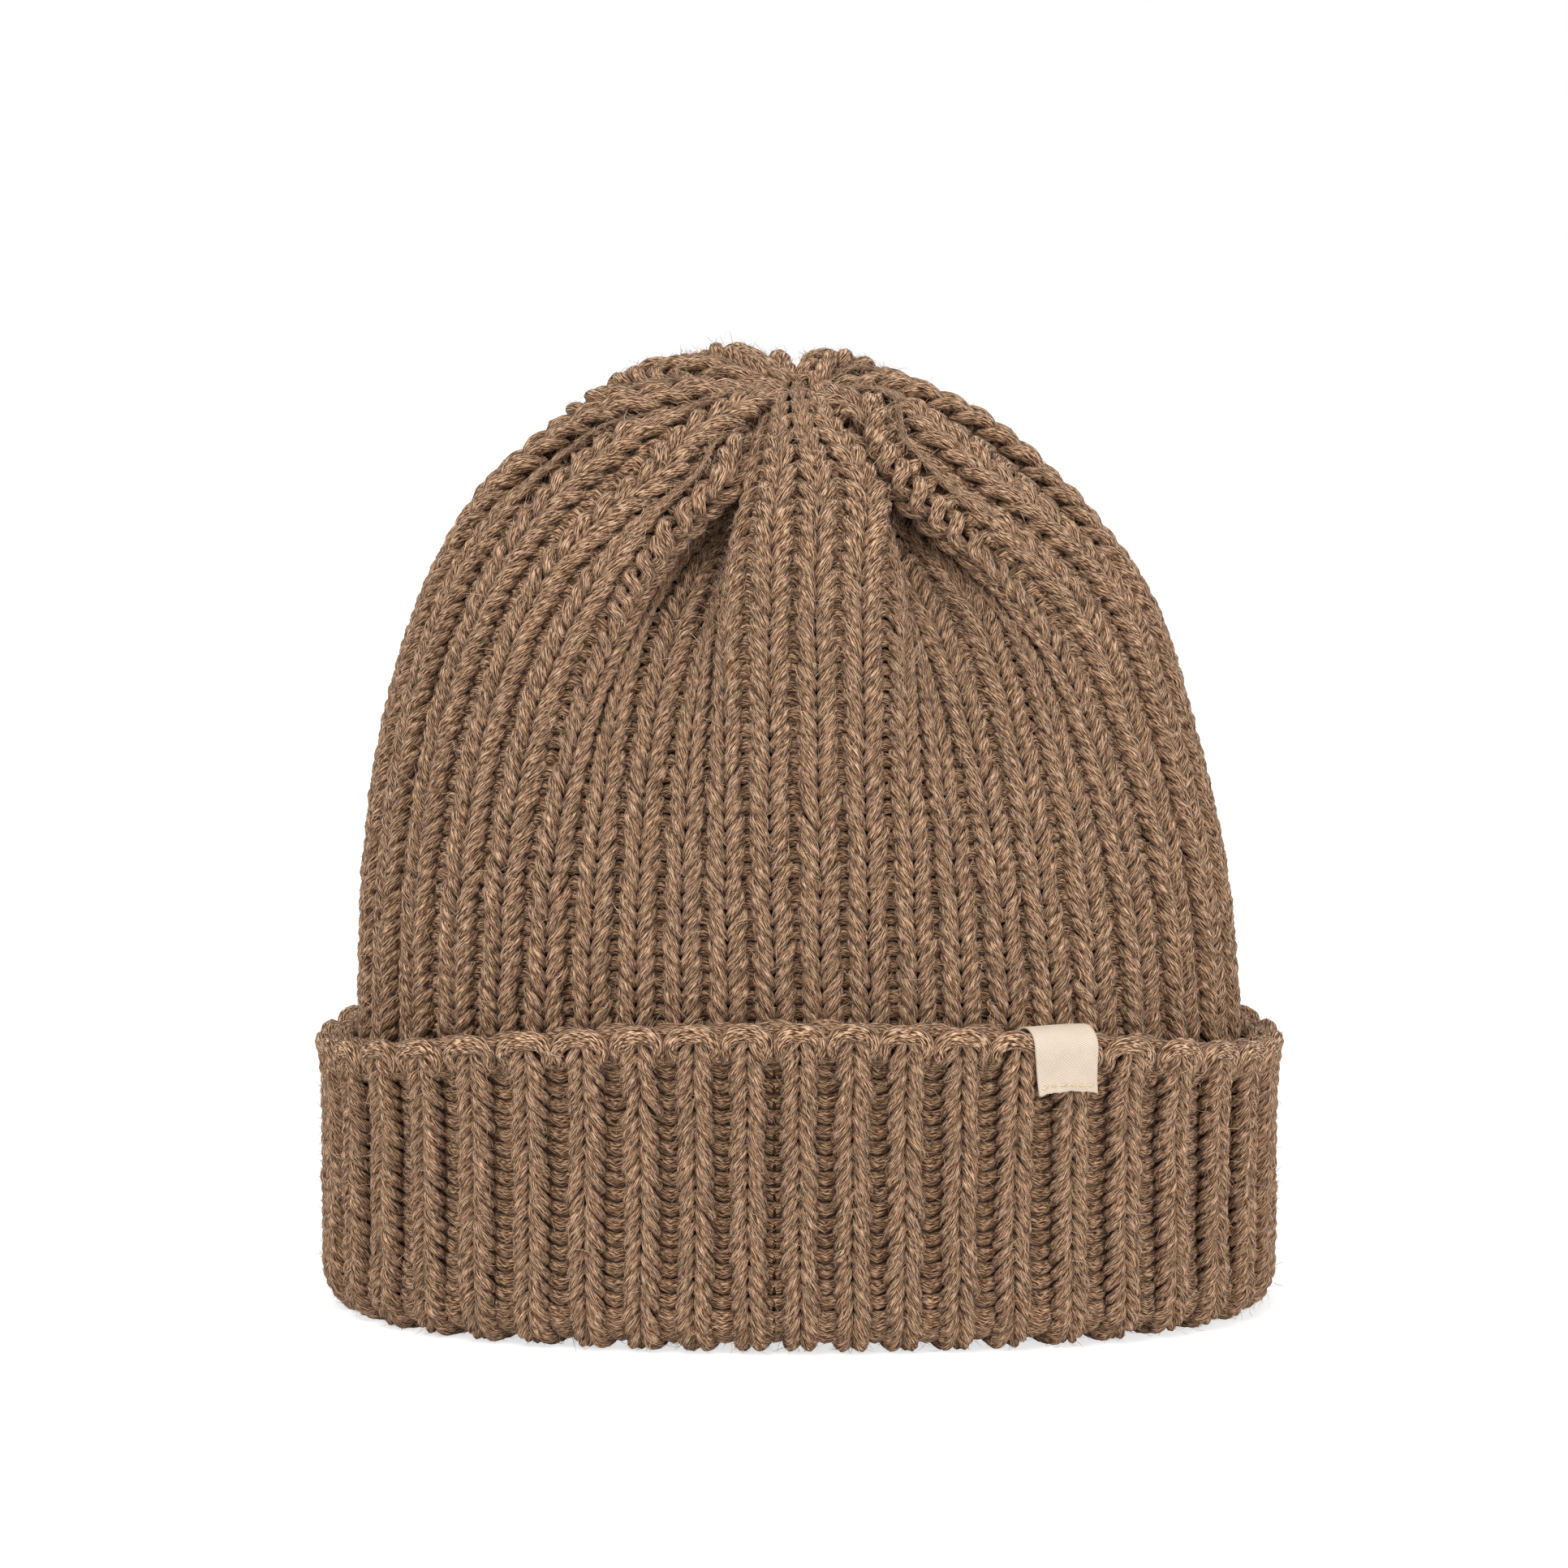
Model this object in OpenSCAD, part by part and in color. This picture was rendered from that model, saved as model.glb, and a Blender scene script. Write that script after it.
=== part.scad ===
// Rib-knit winter hat with a turned-up cuff, standing on the fold of its hem.
//
// The hat is one knitted tube. It starts at the cast-on edge, runs down as the
// cuff, turns in and up at the fold, and goes on as the body. The crown is
// drawn into five gores. Their ribs keep their width up to the gathered point,
// and the ribs between them fold away into pleats. A gathering yarn draws the
// last stitches together.
//
// Frame: +Z up, the front of the hat faces -Y, and the origin lies on the
// surface that the hat stands on, under the middle of the head opening.
// Left and right are the wearer's. All lengths are in millimetres.

/* [Knit] */
// Thickness of one layer of rib knit
knit_t = 8; // [6:0.5:10]
// Depth of the grooves between the ribs of the body
groove = 2.6; // [1:0.1:3]
// Depth of the grooves between the ribs of the cuff, which lies more open
cuff_groove = 3.2; // [1:0.1:3.6]

/* [Body] */
// Width of the body, outside, where it leaves the cuff
body_w = 202; // [180:1:230]
// Depth of the body from front to back, outside, where it leaves the cuff
body_d = 130; // [110:1:150]
// Height of the whole hat
hat_h = 215; // [190:0.5:250]
// Height at which the sides start to curve in
dome_z = 57; // [50:1:75]
// Fullness of the dome: 2 is an ellipse, and more is squarer
dome_power = 2.27; // [2:0.01:2.6]
// How far the outline leaves an ellipse for a rounded rectangle
squareness = 0.023; // [0:0.001:0.05]

/* [Crown] */
// Share of the dome's arc at which the gores start
gore_start = 0.42; // [0.35:0.01:0.5]
// Depth of the pleats between the gores, as a share of the half width there
pleat_depth = 0.42; // [0.1:0.02:0.5]
// Share of the body's width at which the pleats are full
pleat_full = 0.45; // [0.3:0.05:0.6]
// Width that is left in a pleat where its edges meet
pleat_gap = 6.4; // [2:0.2:10]
// How far each gore swells between its pleats
gore_puff = 1.6; // [0:0.1:3]
// How far the dome leans to the wearer's right below the gathered point
side_lean = 8.7; // [0:0.1:12]
// How much fuller the dome is on the wearer's left, two thirds up
side_full = 3; // [0:0.1:5]
// How much lower the back of the crown sags on the wearer's left
crown_sag = 3; // [0:0.1:5]
// Lean of the gathered point towards the front, in degrees
crown_lean = 20; // [0:1:25]
// How far the gathered point lies in front of the middle
crown_shift = 8; // [0:1:15]
// How far the gathered point sinks into the crown
crown_dent = 5; // [0:0.5:8]
// Radius of the hole that the gathering yarn closes
gather_r = 3.4; // [3:0.1:5]

/* [Cuff] */
// Height of the cuff at the front and back
cuff_h = 74; // [55:1:85]
// How much lower its edge lies at the sides
cuff_dip = 12; // [0:1:14]
// How far its edge stands away from the body
cuff_flare = 1.6; // [1:0.1:3]
// Clearance between the cuff and the body inside it
cuff_gap = 0.3; // [0.2:0.1:1]
// Width of the strip that the fold is pressed flat on
foot_w = 5; // [3:0.5:7]

/* [Label] */
// Width of the woven label
label_w = 14.2; // [10:0.2:20]
// Height of its front flap, from the edge of the cuff down
label_h = 14; // [10:0.2:20]
// Height of its back flap, inside the cuff
label_back_h = 12; // [8:0.5:16]
// Thickness of the woven ribbon
label_t = 0.5; // [0.3:0.1:0.7]
// Distance of its middle from the middle of the hat, to the wearer's left
label_x = 58; // [40:1:75]
// Clearance between the ribbon and the knit
label_gap = 0.1; // [0.1:0.05:0.3]
// Number of stitches that hold its lower edge
label_stitches = 6; // [4:1:8]
// Diameter of the sewing thread
thread_d = 0.5; // [0.3:0.1:0.6]

/* [Gathering yarn] */
// Diameter of the yarn
yarn_d = 3; // [2.4:0.1:3.4]
// Clearance between the yarn ring and the last stitches
yarn_gap = 0.2; // [0.1:0.1:0.5]

/* [Hidden] */

ribs = 45;
rib_angle = 360 / ribs;
samples = 4;                        // points across one rib and its groove
half = knit_t / 2;
mid_a = body_w / 2 - half;          // half width of the body's middle layer
mid_b = body_d / 2 - half;          // half depth of it
dome_h = hat_h - dome_z - half;     // height of the middle layer's dome
rib_arc = PI * (mid_a + mid_b) / ribs;
front_turn = 1.5 * rib_angle;       // from the front to the body's rib 0
body_crowding = 11.7;               // degrees that ribs crowd to front and back,
body_evening = 0.14;                // and the share by which they even out again
cuff_crowding = 8.8;
cuff_evening = 0;

// The gores, from the front one round to the wearer's left, and the pleat on the
// right of each. Places are in ribs of the body. A pleat takes in the ribs from
// pleat_from to pleat_to, and its edges meet at gores_meet where the dome has
// narrowed to the share meet_at.
gore_ribs = [8, 9, 8, 10, 10];
first_groove = -4.5;
pleat_from = [-7.3, 0.6, 10, 17, 28];
pleat_to = [-2.55, 6.4, 14, 22, 32];
gores_meet = [-2.3, 3.3, 12, 19.5, 30.5];
meet_at = [0.5, 0.55, 0.5, 0.5, 0.5];
wall_share = 0.36;                  // of a pleat's ribs, in each of its walls
wall_rounding = 1.3;
edge_share = 0.25;                  // of its ribs, gathered at each of its edges
opening_ease = 0.01;                // how softly its edges part
pleat_end = 0.1;                    // share of the width at which it runs out
least_w = 0.02;                     // share at which the gathered stitches end
dent_w = 0.16;                      // share that the dent reaches to
sag_w = 0.6;                        // share that the sag reaches to
full_rise = 0.68;                   // shares of the dome's height at which it is
full_spread = 0.14;                 // fuller, and over which that fades

cuff_in = half + cuff_gap;          // the cuff's inner and outer face, measured
cuff_out = cuff_in + knit_t;        // out from the body's middle layer
fold_mid = (cuff_out - half) / 2;   // middle of the fold, between both layers
fold_r = cuff_out - fold_mid;
flat_angle = acos(foot_w / 2 / fold_r);
flare_from = cuff_h - 2 * knit_t - label_h;
quarter = 90;                       // the search for the label's place: its range
halvings = 24;                      // in degrees, and its steps

// ---- shapes in plan -------------------------------------------------------

// A rounded oval of half width 1 and half depth 1, with its front at 0 degrees
function oval(t) = [
    (sin(t) + squareness * sin(3 * t)) / (1 - squareness),
    -(cos(t) - squareness * cos(3 * t)) / (1 - squareness)
];

// The place on the oval of a rib coordinate, in degrees around the knit
function crowded(turn, crowding, evening) =
    turn - crowding * (sin(2 * turn) - evening * sin(4 * turn));
function cuff_turn(turn) = crowded(turn, cuff_crowding, cuff_evening);

// 0 on the crest of a rib and 1 in the groove, for a coordinate in ribs
function groove_at(rib) = pow((1 - cos(360 * rib)) / 2, 1.4);

function smooth(x) = let (c = max(0, min(1, x))) c * c * (3 - 2 * c);

// ---- body and crown -------------------------------------------------------

// How the dome narrows and rises along its arc, s from 0 to 1
function narrow(s) = pow(max(0, cos(90 * s)), 2 / dome_power);
function rise(s) = pow(max(0, sin(90 * s)), 2 / dome_power);

function last(list) = list[len(list) - 1];
function sum_to(list, n) = n == 0 ? 0 : list[n - 1] + sum_to(list, n - 1);

// How far pleat i has opened, from 0 where its edges meet to 1 at the body
function opened(i, w) =
    let (share = (1 / meet_at[i] - 1 / w) / (1 / meet_at[i] - 1))
    (share + sqrt(share * share + opening_ease)) / (1 + sqrt(1 + opening_ease));

// Half of the gap that its edges leave at least, in ribs
function least(i, w) = pleat_gap / 2 / rib_arc / max(w, 0.3) * (1 - min(1, opened(i, w)));

// The places of its two edges, in ribs
function low_edge(i, w) =
    gores_meet[i] - (gores_meet[i] - pleat_from[i]) * opened(i, w) - least(i, w);
function high_edge(i, w) =
    gores_meet[i] + (pleat_to[i] - gores_meet[i]) * opened(i, w) + least(i, w);

// How far down a pleat's wall is at the share x of its ribs
function wall(x) = pow(sin(90 * max(0, min(1, x / wall_share))), wall_rounding);

// Where a rib lies on the round dome, in ribs, and how far inside it, where the
// dome has narrowed to the share w
function pleated(rib, w) =
    let (r = rib - ribs * floor((rib - pleat_from[0]) / ribs),
         j = last([for (i = [0 : len(gore_ribs) - 1]) if (pleat_from[i] <= r) i]),
         k = (j + 1) % len(gore_ribs),
         round = k == 0 ? ribs : 0,
         x = (r - pleat_from[j]) / (pleat_to[j] - pleat_from[j]),
         y = (r - pleat_to[j]) / (pleat_from[k] + round - pleat_to[j]),
         low = low_edge(j, w),
         high = high_edge(j, w),
         deep = smooth((1 - w) / (1 - pleat_full)) * smooth(w / pleat_end),
         across = (1 - deep) * x + deep * smooth((x - edge_share) / (1 - 2 * edge_share)),
         half_width = (mid_a + mid_b) / 2 * w)
    x < 1
        ? [low + (high - low) * across,
           pleat_depth * half_width * deep * wall(x) * wall(1 - x)]
        : [high + (low_edge(k, w) + round - high) * y,
           -gore_puff * deep * smooth(w / 0.25) * (1 - pow(2 * y - 1, 2))];

// A point of the dome: rib, share of the arc, and distance out from the middle
// layer. The pleats go in square to the dome.
function dome_point(rib, s, out) =
    let (w = narrow(s),
         q = pleated(rib, max(w, least_w)),
         p = oval(crowded(rib_angle * q[0] + front_turn, body_crowding, body_evening)),
         n = [p[0] * pow(w, dome_power - 1) / mid_a,
              p[1] * pow(w, dome_power - 1) / mid_b,
              pow(rise(s), dome_power - 1) / dome_h],
         inward = q[1] / norm(n) * n,
         x = p[0] * (gather_r + (mid_a + out - gather_r) * w) - inward[0],
         y = p[1] * (gather_r + (mid_b + out - gather_r) * w) - inward[1],
         lean = crown_lean * pow(rise(s), 6),
         aside = side_lean * pow(rise(s), 1.6) * (1 - pow(1 - w, 4)),
         dent = crown_dent * exp(-pow(w / dent_w, 2)),
         full = side_full * exp(-pow((rise(s) - full_rise) / full_spread, 2)) * smooth(p[0]),
         sag = crown_sag * smooth(1 - w / sag_w) * smooth(0.5 + x / mid_b)
             * smooth(0.5 + y / mid_b))
    [x - aside + full,
     y * cos(lean) - crown_shift * pow(rise(s), 5),
     dome_z + (dome_h + out) * rise(s) - inward[2] + y * sin(lean) - dent - sag];

// A point of the straight part of the body
function body_point(rib, z, out) =
    let (p = dome_point(rib, 0, out)) [p[0], p[1], z];

function outer(rib, depth) = half - depth * groove_at(rib);

// ---- cuff -----------------------------------------------------------------

function cuff_top(t) = cuff_h - cuff_dip * pow(sin(t), 2);

// A point of the cuff: turn around the knit, height, and distance out from the
// body's middle layer, to which the flare at the top adds
function cuff_point(turn, z, out) =
    let (t = cuff_turn(turn),
         p = oval(t),
         flare = cuff_flare * smooth((z - flare_from) / (cuff_h - flare_from)))
    [p[0] * (mid_a + out + flare), p[1] * (mid_b + out + flare), z];

function edge_z(turn) = cuff_top(cuff_turn(turn)) - half;

// ---- solids from rows of points -------------------------------------------

// Triangles of the band between row r and row q of n points each
function band(r, q, n, closed) = [
    for (c = [0 : n - (closed ? 1 : 2)])
        let (d = (c + 1) % n)
        each [[r * n + c, q * n + d, r * n + d], [r * n + c, q * n + c, q * n + d]]
];

// A closed ring: rows run round its section, and columns run round the hat
module ring(rows) {
    m = len(rows);
    n = len(rows[0]);
    polyhedron(
        [for (row = rows) each row],
        [for (r = [0 : m - 1]) each band(r, (r + 1) % m, n, true)]);
}

// A strip: its outer rows and its inner rows face each other in pairs
module strip(outside, inside) {
    k = len(outside);
    n = len(outside[0]);
    rows = concat(outside, [for (r = [k - 1 : -1 : 0]) inside[r]]);
    m = 2 * k;
    polyhedron(
        [for (row = rows) each row],
        concat(
            [for (r = [0 : m - 1]) each band(r, (r + 1) % m, n, false)],
            [for (r = [0 : k - 2])
                let (a = r * n, b = a + n, c = (m - 2 - r) * n, d = c + n, e = n - 1)
                each [[a, c, b], [a, d, c],
                      [a + e, b + e, c + e], [a + e, c + e, d + e]]]));
}

// ---- parts ----------------------------------------------------------------

rib_steps = [0 : ribs * samples - 1];
function rib_of(i) = first_groove + i / samples;
function turn_of(i) = rib_angle * i / samples;

// The straight tube and the lower dome, from the fold to the gores
module body() {
    shares = [for (k = [0, 0.35, 0.65, 0.85, 1]) k * gore_start];
    color("#86684f")
        ring(concat(
            [[for (i = rib_steps) body_point(rib_of(i), fold_r, half)]],
            [[for (i = rib_steps) body_point(rib_of(i), flare_from, half)]],
            [for (s = shares)
                [for (i = rib_steps)
                    let (rib = rib_of(i)) dome_point(rib, s, outer(rib, groove))]],
            [for (s = [gore_start, 0.65 * gore_start, 0])
                [for (i = rib_steps) dome_point(rib_of(i), s, -half)]],
            [[for (i = rib_steps) body_point(rib_of(i), fold_r, -half)]]));
}

// One gore of the crown, from the body to the gathering yarn
module crown_gore(gore) {
    steps = gore_ribs[gore] * samples;
    from = first_groove + sum_to(gore_ribs, gore);
    rise_steps = [0, 0.2, 0.4, 0.58, 0.74, 0.88, 1];
    function share(k) = gore_start + (1 - gore_start) * k;
    color("#8a6b51")
        strip(
            [for (k = rise_steps)
                [for (i = [0 : steps])
                    let (rib = from + i / samples)
                    dome_point(rib, share(k), outer(rib, groove * (1 - 0.6 * k)))]],
            [for (k = rise_steps)
                [for (i = [0 : steps]) dome_point(from + i / samples, share(k), -half)]]);
}

// The rounded fold at the hem, where the body turns out into the cuff
module cuff_fold() {
    angles = [0, 32, flat_angle, 180 - flat_angle, 148, 180];
    color("#7f634b")
        ring([for (a = angles)
            [for (i = rib_steps)
                let (turn = turn_of(i),
                     dip = cuff_groove * groove_at(i / samples) * max(0, cos(a)),
                     out = fold_mid + (fold_r - (a == 0 ? 0 : dip)) * cos(a),
                     z = fold_r - fold_r * min(1, sin(a) / sin(flat_angle)))
                cuff_point(turn, z, out)]]);
}

// The turned-up band. It shows the other face of the knit, so that its ribs
// stand over the grooves of the body.
module cuff() {
    function wall(i, k, out) =
        let (turn = turn_of(i)) cuff_point(turn, fold_r + (edge_z(turn) - fold_r) * k, out);
    color("#83664d")
        ring(concat(
            [for (k = [0, 0.06, 0.6, 1])
                [for (i = rib_steps)
                    wall(i, k, cuff_out
                        - (k == 0 ? 0 : cuff_groove * groove_at(i / samples)))]],
            [for (k = [1, 0.6, 0])
                [for (i = rib_steps) wall(i, k, cuff_in)]]));
}

// The cast-on edge: the rounded first course along the top of the cuff
module cast_on_edge() {
    color("#8d6e54")
        ring([for (a = [0 : 60 : 180])
            [for (i = rib_steps)
                let (turn = turn_of(i),
                     dip = cuff_groove * groove_at(i / samples) * max(0, cos(a)),
                     out = cuff_in + half + (half - dip) * cos(a))
                cuff_point(turn, edge_z(turn) + half * sin(a), out)]]);
}

// The woven label, folded over the edge of the cuff
module label() {
    across = [-1 : 0.5 : 1];
    mid = cuff_in + half;
    turn_mid = label_turn();
    // the ribbon's path: up the front flap, over the edge and down the back flap
    function path(grow) = concat(
        [[half + grow, -label_h + half], [half + grow, 0]],
        [for (a = [22.5 : 22.5 : 157.5]) (half + grow) * [cos(a), sin(a)]],
        [[-half - grow, 0], [-half - grow, -label_back_h + half]]);
    function rows(grow) = [for (p = path(grow))
        [for (k = across)
            let (turn = turn_mid + k * label_half_turn())
            cuff_point(turn, edge_z(turn_mid) + p[1], mid + p[0])]];
    color("#e8d9c6")
        strip(rows(label_gap + label_t), rows(label_gap));
}

// The turn around the knit at which the cuff reaches label_x, found by halving
function label_turn(low = 0, high = quarter, left = halvings) =
    let (mid = (low + high) / 2)
    left == 0 ? mid
        : cuff_point(mid, cuff_h, cuff_out)[0] < label_x
            ? label_turn(mid, high, left - 1) : label_turn(low, mid, left - 1);

function cuff_tangent() =
    let (a = cuff_point(label_turn() - 1, cuff_h, cuff_out),
         b = cuff_point(label_turn() + 1, cuff_h, cuff_out)) b - a;

function label_half_turn() = label_w / norm(cuff_tangent());

// The stitches along the lower edge of the label's front flap
module label_stitching() {
    pitch = label_w / label_stitches;
    turn_mid = label_turn();
    lie = cuff_tangent();
    mid = cuff_in + half;
    for (k = [0 : label_stitches - 1]) {
        place = (k + 0.5) / label_stitches * 2 - 1;
        turn = turn_mid + place * label_half_turn();
        at = cuff_point(turn, edge_z(turn_mid) + half - label_h + 1.5 * thread_d,
            mid + half + label_gap + label_t + thread_d / 2 + 0.02);
        color("#d9c3a0")
            translate(at)
                rotate([0, 0, atan2(lie[1], lie[0])])
                    rotate([0, 90, 0])
                        cylinder(h = pitch * 0.6, d = thread_d, center = true, $fn = 16);
    }
}

// The yarn ring that is drawn through the last stitches of the crown
module gathering_yarn() {
    ring_r = gather_r - yarn_gap - yarn_d / 2;
    top = dome_point(0, 1, half);
    color("#86684f")
        translate([0, -crown_shift, top[2] - knit_t / 2])
            rotate([crown_lean, 0, 0])
                rotate_extrude($fn = 48)
                    translate([ring_r, 0])
                        intersection() {
                            circle(d = yarn_d, $fn = 24);
                            translate([0.05 - ring_r, -yarn_d]) square([4 * yarn_d, 2 * yarn_d]);
                        }
}

body();
crown_gore(0);  // crown_front
crown_gore(1);  // crown_left_front
crown_gore(2);  // crown_left_back
crown_gore(3);  // crown_right_back
crown_gore(4);  // crown_right_front
cuff_fold();
cuff();
cast_on_edge();
label();
label_stitching();
gathering_yarn();
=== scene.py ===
"""A cuffed rib-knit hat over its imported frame, with every loop of yarn in geometry.

The knit is laid on the same surfaces as the solids: the body and the dome by
rib number and by run along the rib, and the cuff by rib number and by row down
from the cast-on edge. Left and right are the wearer's, and the hat's front faces
-Y. Lengths are in millimetres until a mesh is made.
"""
import math

import bpy
import numpy as np
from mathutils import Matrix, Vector


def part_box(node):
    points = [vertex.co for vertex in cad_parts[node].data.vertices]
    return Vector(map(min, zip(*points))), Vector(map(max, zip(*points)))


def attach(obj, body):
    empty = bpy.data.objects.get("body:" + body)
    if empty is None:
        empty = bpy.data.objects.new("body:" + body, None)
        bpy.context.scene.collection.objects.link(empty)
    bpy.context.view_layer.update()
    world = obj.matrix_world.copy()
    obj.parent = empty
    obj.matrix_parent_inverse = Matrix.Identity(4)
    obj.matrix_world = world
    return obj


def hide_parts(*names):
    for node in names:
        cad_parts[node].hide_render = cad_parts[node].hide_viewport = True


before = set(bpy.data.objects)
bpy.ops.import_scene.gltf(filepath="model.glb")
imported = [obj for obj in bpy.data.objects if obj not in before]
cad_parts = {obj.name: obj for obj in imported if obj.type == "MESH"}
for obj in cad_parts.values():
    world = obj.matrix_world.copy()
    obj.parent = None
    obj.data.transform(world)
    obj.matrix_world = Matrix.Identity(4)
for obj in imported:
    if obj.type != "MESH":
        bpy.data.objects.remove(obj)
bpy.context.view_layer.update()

MM = 0.001
BODY = "root"
scene = bpy.context.scene


# ---- sizes ------------------------------------------------------------------
def size_of(node, axis):
    """A node's size in the frame, in mm."""
    low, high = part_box(node)
    return (high[axis] - low[axis]) / MM


# From the frame's own boxes
BODY_W = size_of("body", 0)
BODY_D = size_of("body", 1)
FOLD_R = size_of("cuff_fold", 2)

# The rest are the solids' own driving sizes.
KNIT_T = 8.0             # thickness of one layer of knit
HAT_H = 215.0
DOME_Z = 57.0            # height at which the sides start to curve in
DOME_POWER = 2.27        # fullness of the dome: 2 is an ellipse
SQUARENESS = 0.023       # how far the plan leaves an ellipse
GORE_START = 0.42        # share of the dome's arc at which the gores start
SIDE_LEAN = 8.7          # how far the dome leans to the right
SIDE_FULL = 3.0          # how much fuller it is on the left
FULL_RISE = 0.68         # shares of its height at which it is fuller,
FULL_SPREAD = 0.14       # and over which that fades
CROWN_SAG = 3.0          # how much lower the crown sags at the back on the left
SAG_W = 0.6              # share of the dome's width that the sag reaches to
CROWN_LEAN = 20.0        # lean of the gathered point to the front, in degrees
CROWN_SHIFT = 8.0        # how far that point lies in front of the middle
CROWN_DENT = 5.0         # how far it sinks in
DENT_W = 0.16            # share of the dome's width that the dent reaches to
GATHER_R = 3.4           # radius of the hole that the gathering yarn closes
CUFF_H = 74.0
CUFF_DIP = 12.0          # how much lower the cuff's edge lies at the sides
CUFF_FLARE = 1.6         # how far its edge stands away from the body
CUFF_GAP = 0.3
FOOT_W = 5.0             # width of the strip that the fold is pressed flat on
LABEL_W = 14.2
LABEL_H = 14.0
LABEL_BACK_H = 12.0
LABEL_T = 0.5
LABEL_X = 58.0           # from the hat's middle to the label's, on the left
LABEL_GAP = 0.1
LABEL_STITCHES = 6
THREAD_D = 0.5
YARN_D = 3.0
BODY_CROWDING = 11.7     # degrees that the ribs crowd to front and back,
BODY_EVENING = 0.14      # and the share by which they even out again
CUFF_CROWDING = 8.8
CUFF_EVENING = 0.0

# The pleats between the gores, in ribs of the body, from rib 0 by the middle of the
# front gore on round to the left. A pleat takes in the ribs from PLEAT_FROM to
# PLEAT_TO, and its edges close on GORES_MEET.
RIBS = 45
GORE_RIBS = [8, 9, 8, 10, 10]
FIRST_RIB = -4           # of the front gore
PLEAT_FROM = np.array([-7.3, 0.6, 10, 17, 28])
PLEAT_TO = np.array([-2.55, 6.4, 14, 22, 32])
GORES_MEET = np.array([-2.3, 3.3, 12.0, 19.5, 30.5])
MEET_AT = np.array([0.50, 0.55, 0.50, 0.50, 0.50])   # share of the dome's width
OVER_FROM = np.array([1.0, 1.0, 0.3, 0.3, 0.3])      # how far the edges overhang
OVER_TO = np.array([-0.3, 1.0, 0.3, 0.3, 0.3])
OVERHANG = 4.0           # in mm
PLEAT_DEPTH = 0.42       # share of the dome's half width there
PLEAT_START = 1.0        # shares of the dome's width where the pleats start
PLEAT_FULL = 0.45        # and are full
PLEAT_GAP = 6.0          # width that is left in a pleat where its edges meet
WALL_SHARE = 0.36        # of a pleat's ribs, in each of its walls
WALL_ROUNDING = 1.3
EDGE_SHARE = 0.25        # of its ribs, gathered at each of its edges
OPENING_EASE = 0.01      # how softly its edges part
OPENING_FULL = 2.005     # what brings the share of an open pleat to 1
LEAST_W = 0.02           # share of the dome's width at which the stitches end
GORE_PUFF = 1.6          # how far a gore swells between its pleats

RIB_ANGLE = 360 / RIBS
RIB_W = 10.4             # width of a rib of the body, at rest
FRONT_TURN = 1.5 * RIB_ANGLE
HALF = KNIT_T / 2
MID_A = BODY_W / 2 - HALF
MID_B = BODY_D / 2 - HALF
DOME_H = HAT_H - DOME_Z - HALF
CUFF_IN = HALF + CUFF_GAP
CUFF_OUT = CUFF_IN + KNIT_T
FOLD_MID = (CUFF_OUT - HALF) / 2
FLAT_ANGLE = math.degrees(math.acos(FOOT_W / 2 / FOLD_R))
FLARE_FROM = CUFF_H - 2 * KNIT_T - LABEL_H

# The yarn and the gauge
BODY_ROW = 3.48          # height of a row of the body
CROWN_ROW = 5.9          # and of the crown's, which the gather stretches
STRETCH_FROM = 94        # run up the dome at which its rows start to grow taller
STRETCH_TO = 138         # and have grown
SINK = 1.8               # how deep the crown's hidden ribs lie
ONE_SINKS_FROM = 0.80    # share of the dome's width where one rib in three starts to
ONE_SINKS_OVER = 0.30    # sink, and the share over which it does
TWO_SINK_FROM = 0.42     # the same for two in three
TWO_SINK_OVER = 0.20
PLEAT_SHADE_SHARE = 0.15          # painted shade: how much a pleat's depth darkens, beside a groove's
PLEAT_SHADE_TO = 12              # mm down a pleat to which the painted shade deepens
CUFF_ROWS = 18           # rows of the cuff between its edge and the fold
FOLD_ROW = 3.4           # height of a row round the fold
FOLD_ROWS = math.pi * FOLD_R / FOLD_ROW
ARCH_W = 12.0            # width of a rib at the cast-on edge, at rest
PRESS = 0.6              # how far the ribbon presses the loops under it
YARN_SIDES = 8           # of a strand, round its section
YARN_ROUND = 9.4         # mm round the yarn
TWIST = 0.012            # turns of the ply per mm of yarn
BODY_SQUEEZE = 1.1       # how far a loop may widen with its rib
CUFF_SQUEEZE = 0.92      # the same for the cuff

rng = np.random.default_rng(7)


# ---- surfaces ---------------------------------------------------------------
def sind(a):
    return np.sin(np.radians(a))


def cosd(a):
    return np.cos(np.radians(a))


def smooth(x):
    c = np.clip(x, 0, 1)
    return c * c * (3 - 2 * c)


def unit(v):
    return v / np.maximum(np.linalg.norm(v, axis=-1, keepdims=True), 1e-9)


def oval(t):
    """A rounded oval of half width 1 and half depth 1, with its front at 0 degrees."""
    x = (sind(t) + SQUARENESS * sind(3 * t)) / (1 - SQUARENESS)
    y = -(cosd(t) - SQUARENESS * cosd(3 * t)) / (1 - SQUARENESS)
    return x, y


def crowded(turn, crowding, evening):
    """Where a turn goes when the ribs crowd to the front and the back."""
    return turn - crowding * (sind(2 * turn) - evening * sind(4 * turn))


def cuff_turn(turn):
    return crowded(turn, CUFF_CROWDING, CUFF_EVENING)


def narrow(s):
    """Share of the dome's width at the share s of its arc."""
    return np.maximum(0, cosd(90 * s)) ** (2 / DOME_POWER)


def rise(s):
    """Share of the dome's height at the share s of its arc."""
    return np.maximum(0, sind(90 * s)) ** (2 / DOME_POWER)


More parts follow.
